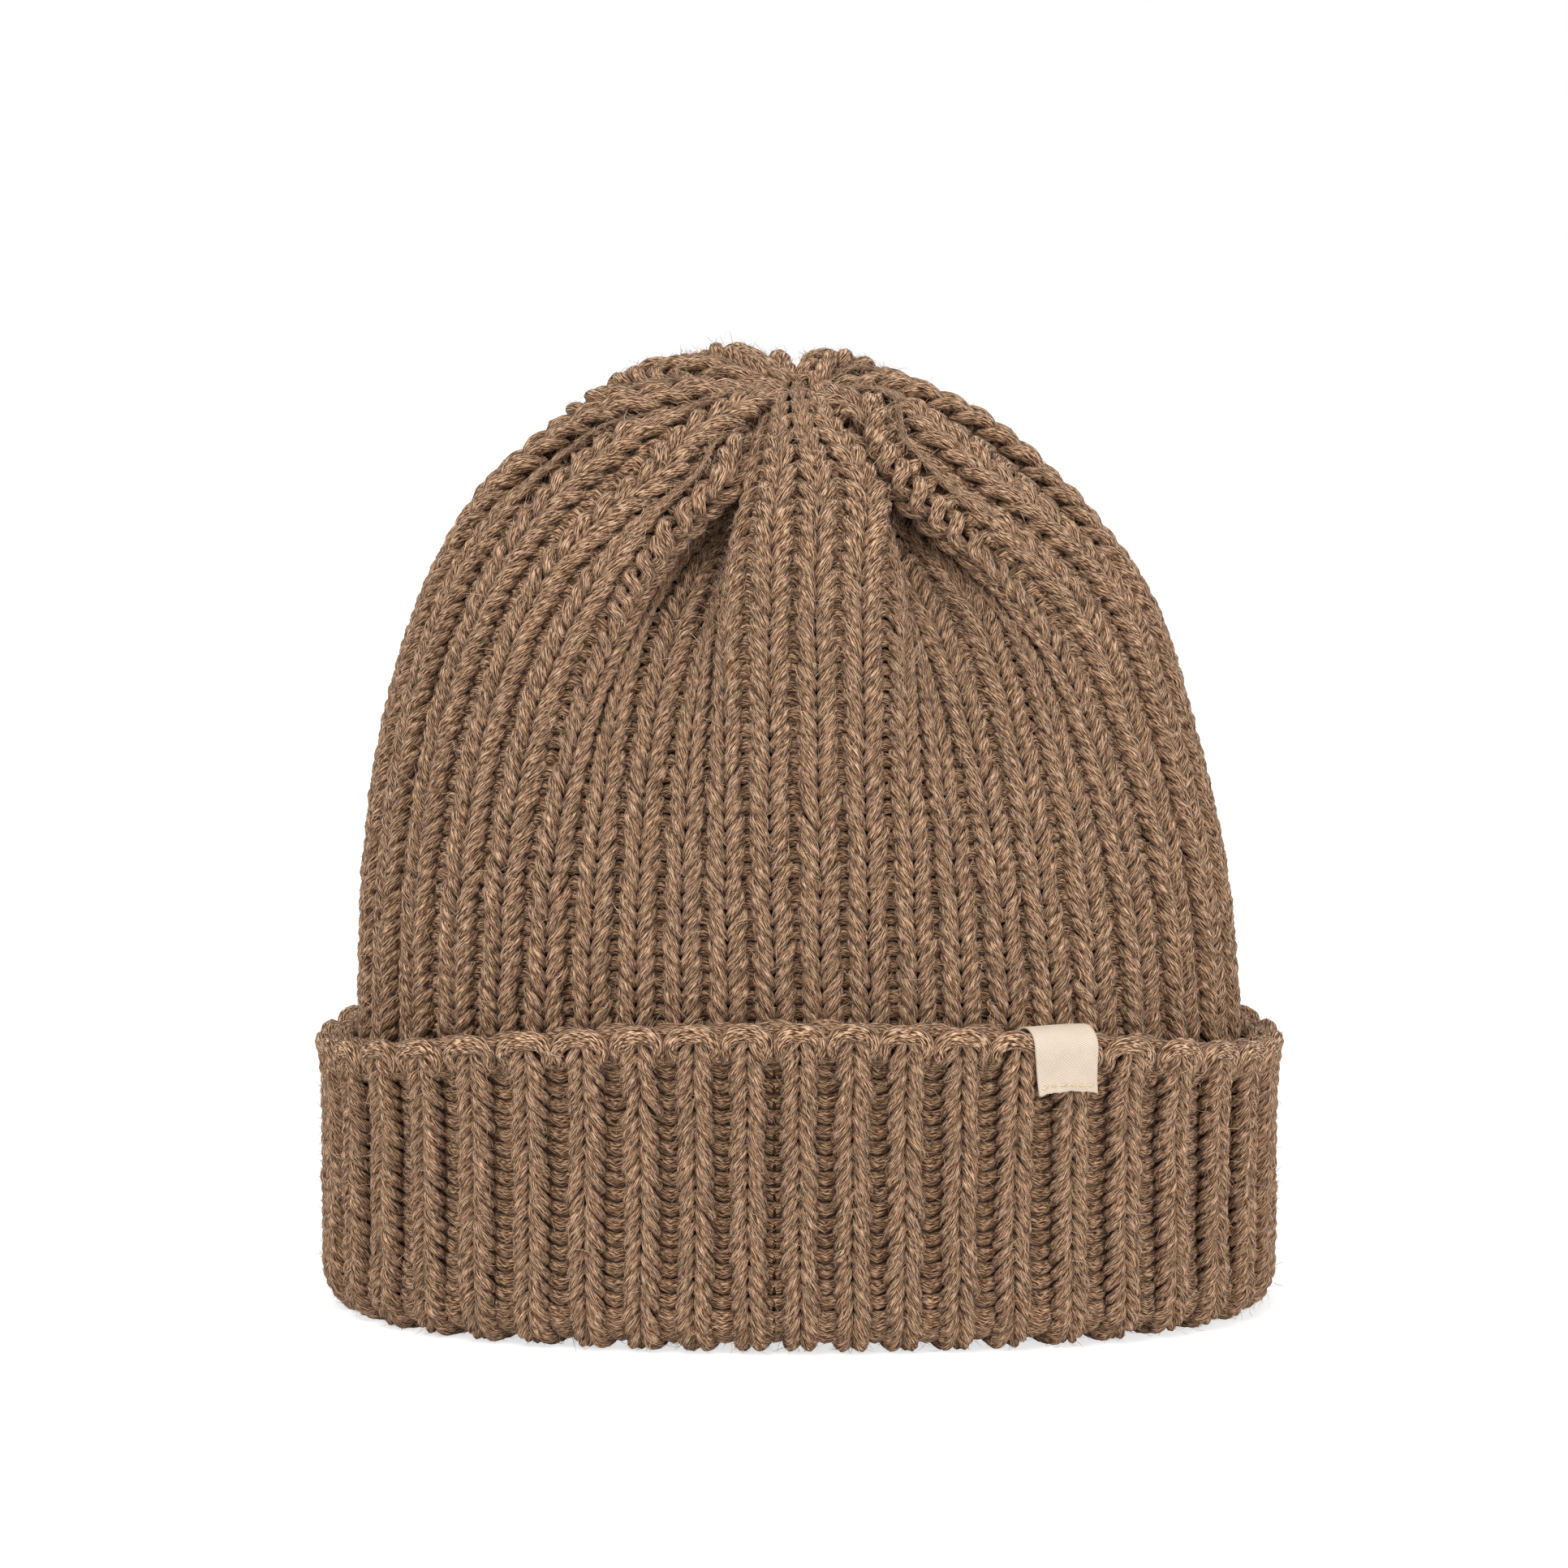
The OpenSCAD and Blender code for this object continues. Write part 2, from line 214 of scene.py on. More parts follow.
def pleat_edges(i, w, turn):
    """The places of pleat i's two edges where the dome has narrowed to the share w."""
    open_to = (1 / MEET_AT[i] - 1 / np.maximum(w, LEAST_W)) / (1 / MEET_AT[i] - 1)
    share = (open_to + np.sqrt(open_to**2 + OPENING_EASE)) / OPENING_FULL
    least = PLEAT_GAP / 2 / RIB_W / np.maximum(w, 0.3) * np.clip(1 - share, 0, 1)
    low = GORES_MEET[i] - (GORES_MEET[i] - PLEAT_FROM[i]) * share - least
    high = GORES_MEET[i] + (PLEAT_TO[i] - GORES_MEET[i]) * share + least
    return low + turn, high + turn


def overhang(x):
    """How much of the overhang a pleat's edge has, at the share x of its ribs."""
    return np.sin(math.pi * np.clip(x / 0.6, 0, 1)) ** 2


def wall(x):
    """How much of the pleat's depth its wall has reached, at the share x of its ribs."""
    return np.sin(math.pi / 2 * np.clip(x / WALL_SHARE, 0, 1)) ** WALL_ROUNDING


def pleated(rib, w):
    """Where a rib lies on the round dome, in ribs, and how far inside it, in mm,
    where the dome has narrowed to the share w."""
    rib = (rib - PLEAT_FROM[0]) % RIBS + PLEAT_FROM[0]
    j = np.searchsorted(PLEAT_FROM, rib, side="right") - 1
    k = (j + 1) % len(PLEAT_FROM)
    once_round = np.where(k == 0, RIBS, 0)
    deep = smooth((PLEAT_START - w) / (PLEAT_START - PLEAT_FULL))
    low, high = pleat_edges(j, w, 0)
    next_low, _ = pleat_edges(k, w, once_round)
    # within the pleat
    x = (rib - PLEAT_FROM[j]) / (PLEAT_TO[j] - PLEAT_FROM[j])
    across = (1 - deep) * x + deep * smooth((x - EDGE_SHARE) / (1 - 2 * EDGE_SHARE))
    over = OVERHANG * deep / RIB_W / np.maximum(w, 0.25)
    inside = low + (high - low) * across
    inside = inside - over * OVER_FROM[j] * overhang(x) + over * OVER_TO[j] * overhang(1 - x)
    depth = PLEAT_DEPTH * w * (MID_A + MID_B) / 2 * deep * wall(x) * wall(1 - x)
    # on the gore
    y = (rib - PLEAT_TO[j]) / (PLEAT_FROM[k] + once_round - PLEAT_TO[j])
    outside = high + (next_low - high) * y
    puff = -GORE_PUFF * deep * (1 - (2 * y - 1) ** 2)
    return np.where(x < 1, inside, outside), np.where(x < 1, depth, puff)


def dome(rib, s):
    """A point of the middle layer of the dome."""
    w = narrow(s)
    place, depth = pleated(rib, w)
    x, y = oval(crowded(RIB_ANGLE * place + FRONT_TURN, BODY_CROWDING, BODY_EVENING))
    left = smooth(x)
    nx, ny = x * w ** (DOME_POWER - 1) / MID_A, y * w ** (DOME_POWER - 1) / MID_B
    nz = rise(s) ** (DOME_POWER - 1) / DOME_H
    size = depth / np.sqrt(nx * nx + ny * ny + nz * nz)
    x = x * (GATHER_R + (MID_A - GATHER_R) * w) - size * nx
    y = y * (GATHER_R + (MID_B - GATHER_R) * w) - size * ny
    lean = CROWN_LEAN * rise(s) ** 6
    aside = SIDE_LEAN * rise(s) ** 1.6 * (1 - (1 - w) ** 4)
    dent = CROWN_DENT * np.exp(-((w / DENT_W) ** 2))
    full = SIDE_FULL * np.exp(-(((rise(s) - FULL_RISE) / FULL_SPREAD) ** 2)) * left
    sag = CROWN_SAG * smooth(1 - w / SAG_W) * smooth(0.5 + x / MID_B) * smooth(0.5 + y / MID_B)
    up = DOME_H * rise(s) - size * nz
    z = DOME_Z + up + y * sind(lean) - dent - sag
    return np.stack([x - aside + full, y * cosd(lean) - CROWN_SHIFT * rise(s) ** 5, z], -1)


def arc_table():
    """Run along the middle of a rib, for each share of the dome's arc."""
    s = np.linspace(0, 1, 1001)
    radius = narrow(s) * (MID_A + MID_B) / 2
    step = np.hypot(np.diff(radius), np.diff(rise(s) * DOME_H))
    return s, np.concatenate([[0], np.cumsum(step)])


ARC_S, ARC_RUN = arc_table()
DOME_RUN = ARC_RUN[-1]


def width_at(run):
    """Share of the dome's width at a run up along the rib."""
    return narrow(np.interp(run, ARC_RUN, ARC_S))


def body_layer(rib, run):
    """A point of the middle layer of the body or dome: rib number, and run up
    along the rib from the foot of the dome."""
    p = dome(rib, np.interp(run, ARC_RUN, ARC_S))
    p[..., 2] += np.minimum(run, 0)
    return p


def body_at(rib, run, out):
    """A point at a distance out from the middle layer."""
    rib, run, out = np.broadcast_arrays(rib, run, out)
    run = np.minimum(run, DOME_RUN - 0.4)
    across = body_layer(rib + 0.02, run) - body_layer(rib - 0.02, run)
    along = body_layer(rib, run + 0.3) - body_layer(rib, run - 0.3)
    return body_layer(rib, run) + out[..., None] * unit(np.cross(across, along))


def gather_at(turns, radius, depth):
    """A point round the gather: turns from the front, radius, and depth in from its top."""
    x = radius * np.sin(2 * math.pi * turns)
    y = -radius * np.cos(2 * math.pi * turns)
    z = DOME_Z + DOME_H - CROWN_DENT - depth + y * sind(CROWN_LEAN)
    return np.stack([x, y * cosd(CROWN_LEAN) - CROWN_SHIFT, z], -1)


def cuff_top(t):
    return CUFF_H - CUFF_DIP * sind(t) ** 2


def edge_z(turn):
    """Height of the middle of the cuff's rounded edge."""
    return cuff_top(cuff_turn(turn)) - HALF


def cuff_point(turn, z, out):
    """A point of the cuff: turn from the front, height, and distance out from the
    body's middle layer."""
    turn, z, out = np.broadcast_arrays(turn, z, out)
    x, y = oval(cuff_turn(turn))
    flare = CUFF_FLARE * smooth((z - FLARE_FROM) / (CUFF_H - FLARE_FROM))
    return np.stack([x * (MID_A + out + flare), y * (MID_B + out + flare), z], -1)


def cuff_at(rib, row, depth):
    """A point of the turned-up cuff: rib number from the front, row down from the
    cast-on edge, on round the fold, and depth in from the outer face."""
    turn = rib * RIB_ANGLE
    straight = edge_z(turn) - FOLD_R
    z = edge_z(turn) - np.minimum(row / CUFF_ROWS, 1) * straight
    angle = np.clip((row - CUFF_ROWS) * FOLD_ROW / FOLD_R, 0, math.pi)
    bend = np.minimum(1, np.sin(angle) / sind(FLAT_ANGLE))
    z = z - (FOLD_R - depth) * bend
    out = FOLD_MID + (FOLD_R - depth) * np.cos(angle)
    return cuff_point(turn, z, out)


def edge_at(rib, up, depth):
    """A point by the cuff's top edge: up from the middle of its rounding, and
    depth in from the outer face."""
    turn = rib * RIB_ANGLE
    return cuff_point(turn, edge_z(turn) + up, CUFF_OUT - depth)


def pitch_of(place, rib, row, depth):
    """Width of a rib there, in mm."""
    reach = 0.3
    apart = place(rib + reach, row, depth) - place(rib - reach, row, depth)
    return np.linalg.norm(apart, axis=-1) / (2 * reach)


# ---- yarn -------------------------------------------------------------------
def half_loop(reach, leg, valley, bar, climb=1.0):
    """One rib of one row, from the middle of a groove to the middle of the rib.
    reach is how far the legs spread, in mm, leg their half width, valley how deep
    the groove's bar lies, bar its half width, and climb how steep the legs are.
    Columns: share of the rib's pitch, mm across, rows up, mm out from the crest's
    middle line, half width and half thickness of the yarn there."""
    return np.array([
        (0.5, 0.0, 0.05, -valley, bar, 1.15),
        (0.5, -1.9, -0.10, -valley - 0.4, 0.9 * bar, 1.10),
        (0.0, 2.2, -0.42, -4.2, 1.00, 1.00),
        (0.0, 0.70, -0.38, -2.5, 0.85 * leg, 1.10),
        (0.0, 0.95, 0.02, -0.80, 0.95 * leg, 1.35),
        (0.0, 0.60 * reach, 0.60 * climb, 0.0, 1.05 * leg, 1.60),
        (0.0, 0.96 * reach, 1.20 * climb, -0.85, leg, 1.50),
        (0.0, reach, 1.60 * climb, -2.5, 0.9 * leg, 1.25),
        (0.0, 1.60, 1.78 * climb, -3.8, 1.00, 1.00),
    ])


LOOP_SAMPLES = [1, 1, 1, 2, 3, 3, 2, 1, 1]      # in each stretch of a half loop
MIRRORED = [-1, -1, 1, 1, 1, 1]                 # turns a half into the other one


def spline(points, counts):
    """Catmull-Rom through points, with counts samples in each interval."""
    p = np.array(points, float)
    p = np.vstack([2 * p[0] - p[1], p, 2 * p[-1] - p[-2]])
    rows = []
    for i, count in enumerate(counts):
        a, b, c, d = p[i : i + 4]
        for t in np.arange(count) / count:
            rows.append(
                0.5 * (2 * b + (c - a) * t + (2 * a - 5 * b + 4 * c - d) * t * t
                       + (3 * b - a - 3 * c + d) * t**3)
            )
    return np.array(rows)


def loop_template(**sizes):
    """A whole loop's centre line, from groove to groove, in half_loop's columns."""
    right = half_loop(**sizes)
    head = right[-1:] * [0, 0, 1.01, 1.05, 1, 1]
    keys = np.vstack([right * MIRRORED, head, right[::-1]])
    return spline(keys, LOOP_SAMPLES + LOOP_SAMPLES[::-1])


def waver(rib, row, seed):
    """Slow unevenness of the hand, about -1 to 1."""
    wobble = np.random.default_rng(seed)
    total = 0
    for _ in range(5):
        by_rib = round(wobble.uniform(0.1, 0.75) * RIBS) / RIBS
        by_row = wobble.uniform(0.05, 0.5)
        phase = wobble.uniform(0, 6.3)
        total = total + np.sin(2 * math.pi * by_rib * rib + by_row * row + phase)
    return total / 2.6


def rows_of_yarn(place, ribs, rows, template, squeeze_to):
    """Centre lines of rows of loops. place(rib, row, depth) gives a point of the
    knit, and its rows count the way that it was knitted."""
    part, aside, rise_by, out, wide, thick = np.moveaxis(template, -1, 0)
    at_rib, at_row = (a[..., None].astype(float) for a in np.meshgrid(ribs, rows))
    pitch = pitch_of(place, at_rib, at_row, 2)
    squeeze = np.clip(pitch / RIB_W, 0.05, squeeze_to)
    # how uneven the loops are: in mm, but tall, side and fat as shares
    local = np.random.default_rng(len(ribs) * 100 + len(rows))
    shift = 0.22 * waver(at_rib, at_row, 3) + local.normal(0, 0.10, at_rib.shape)
    tall = 1 + local.normal(0, 0.05, at_rib.shape)
    side = local.normal(0, 0.09, at_rib.shape)
    lift = local.normal(0, 0.12, at_rib.shape)
    fat = 1 + local.normal(0, 0.035, at_rib.shape)
    across = (aside * (1 + side * np.sign(aside)) + shift * (part == 0)) * squeeze
    rib = at_rib + part + across / pitch
    row = at_row + rise_by * np.where(np.abs(part) > 0, 1, tall)
    depth = 1.5 * squeeze**0.5 - (out + lift * (out > -2)) * squeeze**0.5
    thin = squeeze**0.6 * fat
    return rib, row, depth, thin * wide, thin * thick


def sweep(place, rib, row, depth, wide, thick, sides):
    """Tubes along centre lines, as vertices (lines, points, sides, 3), and the
    points of the centre lines themselves."""
    at = place(rib, row, depth)
    step = 0.02
    by_rib = place(rib + step, row, depth) - place(rib - step, row, depth)
    by_row = place(rib, row + step, depth) - place(rib, row - step, depth)
    normal = unit(np.cross(by_rib, by_row))
    outward = place(rib, row, depth - 0.2) - place(rib, row, depth + 0.2)
    flip = np.sign((normal * outward).sum(-1, keepdims=True))
    normal *= np.where(flip == 0, 1, flip)
    along = unit(np.gradient(at, axis=-2))
    across = unit(np.cross(along, normal))
    normal = np.cross(across, along)
    angle = 2 * math.pi * (np.arange(sides) / sides) - math.pi / 2
    ring = (
        across[..., None, :] * (np.cos(angle)[:, None] * wide[..., None, None])
        + normal[..., None, :] * (np.sin(angle)[:, None] * thick[..., None, None])
    )
    return at[..., None, :] + ring, at


def tube_grid(lines, points, sides):
    """Line, point and side of each quad of the tubes."""
    counts = np.arange(lines), np.arange(points - 1), np.arange(sides)
    return np.meshgrid(*counts, indexing="ij")


def tube_faces(lines, points, sides):
    """Quads of open tubes, whose ends lie hidden or meet the next piece's."""
    line, point, side = tube_grid(lines, points, sides)
    here = (line * points + point) * sides
    there = here + sides
    after = (side + 1) % sides
    return np.stack([here + side, there + side, there + after, here + after], -1).reshape(-1, 4)


def ring_faces(rings, around):
    """Quads between rings of points, each of them closed."""
    ring, point = np.meshgrid(np.arange(rings - 1), np.arange(around), indexing="ij")
    here = ring * around
    there = here + around
    after = (point + 1) % around
    return np.stack([here + point, here + after, there + after, there + point], -1).reshape(-1, 4)


def new_mesh(name, verts, quads, uvs=None, bake=None, below=None):
    """A smooth mesh object from arrays in mm, with UV maps given per face corner
    and below, each vertex's depth under the knit's crests, which sets its painted shade."""
    mesh = bpy.data.meshes.new(name)
    verts = np.asarray(verts, np.float32).reshape(-1, 3) * MM
    quads = np.asarray(quads, np.int32)
    mesh.vertices.add(len(verts))
    mesh.vertices.foreach_set("co", verts.ravel())
    mesh.loops.add(quads.size)
    mesh.loops.foreach_set("vertex_index", quads.ravel())
    mesh.polygons.add(len(quads))
    mesh.polygons.foreach_set("loop_start", np.arange(len(quads), dtype=np.int32) * quads.shape[1])
    for layer, values in (("Yarn", uvs), ("OFBake", bake)):
        if values is not None:
            uv = mesh.uv_layers.new(name=layer, do_init=False)
            uv.uv.foreach_set("vector", np.asarray(values, np.float32).ravel())
    if below is not None:
        depths = mesh.attributes.new("below", "FLOAT", "POINT")
        depths.data.foreach_set("value", np.asarray(below, np.float32).ravel())
    mesh.update(calc_edges=True)
    mesh.validate()
    mesh.polygons.foreach_set("use_smooth", np.ones(len(mesh.polygons), bool))
    obj = bpy.data.objects.new(name, mesh)
    scene.collection.objects.link(obj)
    return obj


def tube_uvs(at, lines, points, sides):
    """Yarn UVs (mm along, share round with the twist) and bake UVs (a strip a line)."""
    step = np.linalg.norm(np.diff(at.reshape(lines, points, 3), axis=1), axis=-1)
    run = np.concatenate([np.zeros((lines, 1)), np.cumsum(step, 1)], 1)
    run += rng.uniform(0, 500, (lines, 1))
    line, point, side = tube_grid(lines, points, sides)
    corner_points = np.stack([point, point + 1, point + 1, point], -1)
    corner_sides = np.stack([side, side, side + 1, side + 1], -1)
    along = run[line[..., None], corner_points]
    around = corner_sides / sides + TWIST * along
    yarn = np.stack([along, around], -1).reshape(-1, 2)
    bake_u = corner_points / (points - 1)
    bake_v = (line[..., None] + 0.04 + 0.92 * corner_sides / sides) / lines
    return yarn, np.stack([bake_u, bake_v], -1).reshape(-1, 2)


TUBES = {}      # surface points, centre lines and depths of each piece of yarn


def yarn_mesh(name, place, rib, row, depth, wide, thick, sides=YARN_SIDES, shade_added=0):
    """Tubes along the centre lines, one for each line of the arrays. The last
    argument adds to the depth that sets their painted shade."""
    verts, at = sweep(place, rib, row, depth, wide, thick, sides)
    angle = 2 * math.pi * np.arange(sides) / sides
    below = (depth + shade_added)[..., None] + np.cos(angle) * thick[..., None]
    TUBES[name] = verts, at, below
    lines, points = rib.shape
    uvs, bake = tube_uvs(at, lines, points, sides)
    return new_mesh(name, verts, tube_faces(lines, points, sides), uvs, bake, below)


def knit(name, place, ribs, rows, template, squeeze_to):
    """Rows of yarn as one mesh. Each row ends at the middle of its last groove."""
    parts = rows_of_yarn(place, ribs, rows, template, squeeze_to)
    rib, *rest = (part.reshape(len(rows), -1) for part in parts)
    rib = np.concatenate([rib, rib[:, :1] + len(ribs)], 1)
    row, depth, wide, thick = (np.concatenate([part, part[:, :1]], 1) for part in rest)
    # painted shade: the body's knit darkened down inside the pleats
    shade_added = pleat_painted_shade(rib, row) if place is body_place else 0
    return yarn_mesh(name, place, rib, row, depth, wide, thick, shade_added=shade_added)


# ---- materials --------------------------------------------------------------
def srgb(r, g, b):
    def one(c):
        c /= 255
        return c / 12.92 if c <= 0.04045 else ((c + 0.055) / 1.055) ** 2.4
    return (one(r), one(g), one(b), 1.0)


def set_inputs(node, values):
    """Sets a node's inputs by name, with _ for a space."""
    for name, value in values.items():
        node.inputs[name.replace("_", " ")].default_value = value
    return node


def add(tree, kind, **values):
    """A new node of a kind, with these values for its inputs."""
    return set_inputs(tree.nodes.new("ShaderNode" + kind), values)


def material(name, **values):
    """A new material, its tree, and its shader with these values."""
    mat = bpy.data.materials.new(name)
    mat.use_nodes = True
    return mat, mat.node_tree, set_inputs(mat.node_tree.nodes["Principled BSDF"], values)


def yarn_uv(tree):
    uv = add(tree, "UVMap")
    uv.uv_map = "Yarn"
    return uv.outputs["UV"]


def mapped(tree, where, **values):
    turned = add(tree, "Mapping", **values)
    tree.links.new(where, turned.inputs["Vector"])
    return turned.outputs["Vector"]


def noise(tree, where, **values):
    made = add(tree, "TexNoise", **values)
    tree.links.new(where, made.inputs["Vector"])
    return made.outputs["Fac"]


def multiplied(tree, a, b):
    mix = tree.nodes.new("ShaderNodeMix")
    mix.data_type = "RGBA"
    mix.blend_type = "MULTIPLY"
    mix.inputs["Factor"].default_value = 1.0
    tree.links.new(a, mix.inputs["A"])
    tree.links.new(b, mix.inputs["B"])
    return mix.outputs["Result"]


def ramp(tree, source, stops):
    """A colour for each value of source: stops are the two ends, then those between."""
    made = add(tree, "ValToRGB")
    tree.links.new(source, made.inputs["Fac"])
    marks = made.color_ramp.elements
    for i, (place, color) in enumerate(stops):
        mark = marks[i] if i < 2 else marks.new(place)
        mark.position, mark.color = place, color
    return made.outputs["Color"]


def bumped(tree, height, shader, **values):
    bump = add(tree, "Bump", **values)
    tree.links.new(height, bump.inputs["Height"])
    tree.links.new(bump.outputs["Normal"], shader.inputs["Normal"])


def painted_depth_shade(tree, depth):
    """Painted shade: the wool's tone darkened by its depth in mm under the crests, where shade
    falls.
    """
    share = add(tree, "Math")
    share.operation = "DIVIDE"
    share.inputs[1].default_value = KNIT_T
    tree.links.new(depth, share.inputs[0])
    return ramp(tree, share.outputs["Value"], [
        (0.05, (1.0, 1.0, 1.0, 1)),
        (0.50, (0.76, 0.73, 0.69, 1)),
        (0.20, (0.89, 0.88, 0.87, 1)),
    ])


def fibre_noise(tree, uv, slant, length, width):
    """Noise in streaks along the yarn: slant in degrees, length and width in mm."""
    flat = mapped(tree, uv, Scale=(1.0, YARN_ROUND, 1.0), Rotation=(0, 0, math.radians(slant)))
    long = mapped(tree, flat, Scale=(1 / length, 1 / width, 1.0))
    return noise(tree, long, Scale=1.0, Detail=1.0, Distortion=0.15)


def mean_of(tree, a, b):
    """Half of a and half of b."""
    half = add(tree, "Math")
    half.operation = "MULTIPLY"
    both = add(tree, "Math")
    both.operation = "MULTIPLY_ADD"
    for node, source in ((half, a), (both, b)):
        node.inputs[1].default_value = 0.5
        tree.links.new(source, node.inputs[0])
    tree.links.new(half.outputs["Value"], both.inputs[2])
    return both.outputs["Value"]


def yarn_material(name, shade):
    """Fine fibres that run along the yarn, light on dark, over a slow drift of tone,
    and painted shade by depth under the crests.
    """
    mat, tree, shader = material(name, Roughness=1.0, Specular_IOR_Level=0.05,
                                 Sheen_Weight=0.10, Sheen_Roughness=0.6)
    uv = yarn_uv(tree)
    one = fibre_noise(tree, uv, slant=-9, length=1.5, width=0.24)
    other = fibre_noise(tree, uv, slant=6, length=2.0, width=0.22)
    fibres = mean_of(tree, one, other)
    streaks = ramp(tree, fibres, [
        (0.41, srgb(60, 40, 25)),
        (0.59, srgb(242, 202, 167)),
        (0.50, srgb(141, 106, 78)),
    ])
    where = add(tree, "TexCoord").outputs["Object"]
    low, high = 0.86 * shade, 1.0 * shade
    slow = ramp(tree, noise(tree, where, Scale=150.0, Detail=2.0), [
        (0.35, (low, low, low, 1)),
        (0.65, (high, high * 0.98, high * 0.96, 1)),
    ])
    depths = add(tree, "Attribute")
    depths.attribute_name = "below"
    color = multiplied(tree, streaks, slow)
    # painted shade: darker with depth under the crests and down the pleats
    color = multiplied(tree, color, painted_depth_shade(tree, depths.outputs["Fac"]))
    tree.links.new(color, shader.inputs["Base Color"])
    bumped(tree, fibres, shader, Strength=1.0, Distance=0.0004)
    return mat


def backing_material():
    """Matted wool behind the loops, which keeps light from passing; its dark tone
    is painted shade for the gaps between them.
    """
    mat, tree, shader = material("knit_back", Roughness=1.0, Specular_IOR_Level=0.05)
    fluff = noise(tree, add(tree, "TexCoord").outputs["Object"], Scale=900.0, Detail=3.0)
    color = ramp(tree, fluff, [(0.4, srgb(82, 60, 43)), (0.6, srgb(126, 96, 72))])
    tree.links.new(color, shader.inputs["Base Color"])
    bumped(tree, fluff, shader, Distance=0.0008)
    return mat


def satin_material():
    """Cream satin: fine slanting floats, a slow drift of tone and a faint sheen."""
    mat, tree, shader = material("satin", Roughness=0.55, Specular_IOR_Level=0.35,
                                 Sheen_Weight=0.15)
    uv = yarn_uv(tree)
    floats = add(tree, "TexWave", Scale=0.5 / 0.36 * 0.628, Distortion=0.6, Detail=1.0,
                 Detail_Scale=2.5)
    tree.links.new(mapped(tree, uv, Rotation=(0, 0, math.radians(-62))), floats.inputs["Vector"])
    lines = ramp(tree, floats.outputs["Fac"], [
        (0.15, srgb(186, 163, 138)),
        (0.70, srgb(250, 236, 219)),
    ])
    slow = ramp(tree, noise(tree, uv, Scale=0.28, Detail=3.0), [
        (0.3, (0.93, 0.92, 0.90, 1)),
        (0.7, (1, 1, 1, 1)),
    ])
    tree.links.new(multiplied(tree, lines, slow), shader.inputs["Base Color"])
    bumped(tree, floats.outputs["Fac"], shader, Strength=0.5, Distance=0.00012)
    return mat


def thread_material():
    """Twisted sewing thread, a little yellower than the ribbon."""
    mat, tree, shader = material("thread", Roughness=0.5)
    plies = noise(tree, mapped(tree, yarn_uv(tree), Scale=(1.5, 6.0, 1.0)), Scale=1.0)
    color = ramp(tree, plies, [(0.35, srgb(196, 168, 124)), (0.65, srgb(240, 222, 186))])
    tree.links.new(color, shader.inputs["Base Color"])
    return mat


def fibre_material():
    """Single fibres, most of them paler than the yarn, with painted shade by their roots' depth."""
    mat, tree, shader = material("fibre", Roughness=0.9, Specular_IOR_Level=0.1)
    uv = yarn_uv(tree)
    each = add(tree, "TexWhiteNoise")
    each.noise_dimensions = "2D"
    tree.links.new(uv, each.inputs["Vector"])
    tones = ramp(tree, each.outputs["Value"], [
        (0.0, srgb(96, 70, 52)),
        (1.0, srgb(236, 204, 174)),
        (0.45, srgb(178, 142, 113)),
    ])
    parts = add(tree, "SeparateXYZ")
    tree.links.new(uv, parts.inputs["Vector"])
    color = multiplied(tree, tones, painted_depth_shade(tree, parts.outputs["Y"]))
    tree.links.new(color, shader.inputs["Base Color"])
    return mat


WOOL = yarn_material("wool", 1.0)
BODY_WOOL_PAINTED_DARKER = yarn_material("wool_painted_darker", 0.95)     # the same wool painted 5% darker: painted shade that evens out what the light gives the dome
BACK = backing_material()
FIBRE = fibre_material()


def dress(obj, slot, mat, *nodes):
    """Gives a piece its material, and hides the nodes that it stands for. slot is not used."""
    obj.data.materials.append(mat)
    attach(obj, BODY)
    if nodes:
        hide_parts(*nodes)
    return obj


# ---- body, crown and cuff ---------------------------------------------------
def row_height(run):
    share = smooth((run - STRETCH_FROM) / (STRETCH_TO - STRETCH_FROM))
    return BODY_ROW + (CROWN_ROW - BODY_ROW) * share


def row_table():
    """The run at which each row of the body and the crown starts."""
    runs = [0.0]
    while runs[-1] < DOME_RUN:
        runs.append(runs[-1] + row_height(runs[-1]))
    return np.array(runs)


ROW_RUN = row_table()


def gathered(rib, run):
    """Where a rib of the crown lies, in ribs, and how far it sinks, in mm: as the
    dome narrows, one in three sinks between its neighbours, and by the gather
    two. The front's middle three stay."""
    w = width_at(run)
    group = np.floor((rib + 0.5) / 3)
    t = rib + 0.5 - 3 * group
    moves = group % (RIBS / 3) != RIBS / 3 - 1
    one = smooth((ONE_SINKS_FROM - w) / ONE_SINKS_OVER) * moves
    two = smooth((TWO_SINK_FROM - w) / TWO_SINK_OVER) * moves * (group % (RIBS / 3) != 0)
    # widths of the group's three ribs, which stay three ribs wide in all
    second = 1 - 0.9 * one
    third = (1 + 0.45 * one) * (1 - two) + 0.1 * two
    first = 3 - second - third

    def part(i):
        return np.clip(t - i, 0, 1)

    def hump(i):
        return smooth(1.3 - 1.6 * np.abs(t - i - 0.5))

    moved = first * part(0) + second * part(1) + third * part(2)
    return 3 * group - 0.5 + moved, SINK * (one * hump(1) + two * hump(2))


def run_of(row):
    """The run at which a row lies, which may be past either end of the table."""
    last = len(ROW_RUN) - 1
    past = CROWN_ROW * np.maximum(row - last, 0) + BODY_ROW * np.minimum(row, 0)
    return np.interp(row, np.arange(last + 1), ROW_RUN) + past


def body_place(rib, row, depth):
    """A point of the body or crown: rib, row, and depth in from the outer face."""
    run = run_of(row)
    rib, sink = gathered(rib, run)
    return body_at(rib, run, HALF - depth - sink)


def pleat_painted_shade(rib, row):
    """Painted shade inside a pleat: how much darker the knit is painted there, as mm of groove."""
    run = run_of(row)
    _, inside = pleated(gathered(rib, run)[0], width_at(run))
    return PLEAT_SHADE_SHARE * np.clip(inside, 0, PLEAT_SHADE_TO)


